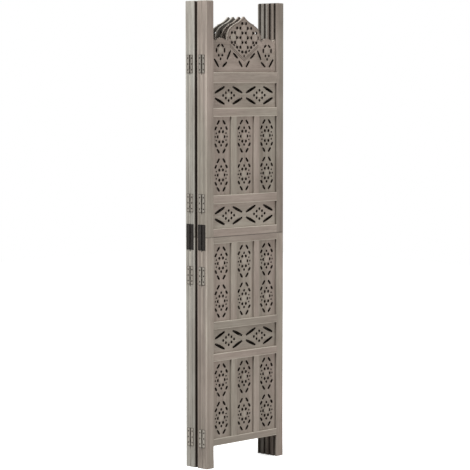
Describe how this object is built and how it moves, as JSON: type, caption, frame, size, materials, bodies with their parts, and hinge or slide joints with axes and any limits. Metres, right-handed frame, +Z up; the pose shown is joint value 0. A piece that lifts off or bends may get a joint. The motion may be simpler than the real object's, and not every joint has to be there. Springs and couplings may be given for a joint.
{
  "type": "mashrabiya folding screen",
  "caption": "Free-standing wooden screen of hinged panels, each a grooved frame with pierced fretwork boards and an onion-arch crest, shown folded shut.",
  "frame": {"origin": "on the floor, under the middle of the folded stack", "axes": "+Z up along the stiles, +X along the panels, -Y out of the front panel's face"},
  "size_m": [0.4126, 0.1048, 1.65],
  "materials": {
    "washed_frame": "matt grey-brown wash over grain",
    "carved_board": "matt grey-brown wash, carved by hand",
    "bare_dowel": "bare",
    "painted_hinge": "brushed over with the wash",
    "black_hinge": "black, semi-gloss",
    "dark_screw": "dark, worn",
    "hinge_pin": "dark, worn"
  },
  "bodies": {
    "panel_1": {"panel_1_upper_stiles": "washed_frame", "panel_1_lower_stiles": "washed_frame", "panel_1_upper_rails": "washed_frame", "panel_1_lower_rails": "washed_frame", "panel_1_upper_muntins": "washed_frame", "panel_1_lower_muntins": "washed_frame", "panel_1_crest_board": "carved_board", "panel_1_cross_boards": "carved_board", "panel_1_column_boards": "carved_board", "panel_1_seam_dowels": "bare_dowel", "panel_1_hinge_screws": "dark_screw", "fold_1_front_leaves": "painted_hinge", "fold_1_joining_front_leaf": "black_hinge", "fold_1_pins": "hinge_pin"},
    "panel_2": {"panel_2_upper_stiles": "washed_frame", "panel_2_lower_stiles": "washed_frame", "panel_2_upper_rails": "washed_frame", "panel_2_lower_rails": "washed_frame", "panel_2_upper_muntins": "washed_frame", "panel_2_lower_muntins": "washed_frame", "panel_2_crest_board": "carved_board", "panel_2_cross_boards": "carved_board", "panel_2_column_boards": "carved_board", "panel_2_seam_dowels": "bare_dowel", "panel_2_hinge_screws": "dark_screw", "fold_1_rear_leaves": "painted_hinge", "fold_1_joining_rear_leaf": "black_hinge", "fold_2_front_leaves": "painted_hinge", "fold_2_joining_front_leaf": "black_hinge", "fold_2_pins": "hinge_pin"},
    "panel_3": {"panel_3_upper_stiles": "washed_frame", "panel_3_lower_stiles": "washed_frame", "panel_3_upper_rails": "washed_frame", "panel_3_lower_rails": "washed_frame", "panel_3_upper_muntins": "washed_frame", "panel_3_lower_muntins": "washed_frame", "panel_3_crest_board": "carved_board", "panel_3_cross_boards": "carved_board", "panel_3_column_boards": "carved_board", "panel_3_seam_dowels": "bare_dowel", "panel_3_hinge_screws": "dark_screw", "fold_2_rear_leaves": "painted_hinge", "fold_2_joining_rear_leaf": "black_hinge", "fold_3_front_leaves": "painted_hinge", "fold_3_joining_front_leaf": "black_hinge", "fold_3_pins": "hinge_pin"},
    "panel_4": {"panel_4_upper_stiles": "washed_frame", "panel_4_lower_stiles": "washed_frame", "panel_4_upper_rails": "washed_frame", "panel_4_lower_rails": "washed_frame", "panel_4_upper_muntins": "washed_frame", "panel_4_lower_muntins": "washed_frame", "panel_4_crest_board": "carved_board", "panel_4_cross_boards": "carved_board", "panel_4_column_boards": "carved_board", "panel_4_seam_dowels": "bare_dowel", "panel_4_hinge_screws": "dark_screw", "fold_3_rear_leaves": "painted_hinge", "fold_3_joining_rear_leaf": "black_hinge"}
  },
  "joints": [
    {"name": "fold_1", "type": "hinge", "parent": "panel_2", "child": "panel_1", "pos_m": [-0.2033, -0.02904, 0.821], "axis": [0, 0, -1], "range_deg": [0, 180]},
    {"name": "fold_2", "type": "hinge", "parent": "panel_2", "child": "panel_3", "pos_m": [0.2033, -0.00524, 0.821], "axis": [0, 0, -1], "range_deg": [-1.5, 178.5]},
    {"name": "fold_3", "type": "hinge", "parent": "panel_3", "child": "panel_4", "pos_m": [-0.20254, 0.0292, 0.821], "axis": [0, 0, 1], "range_deg": [0, 180]}
  ]
}
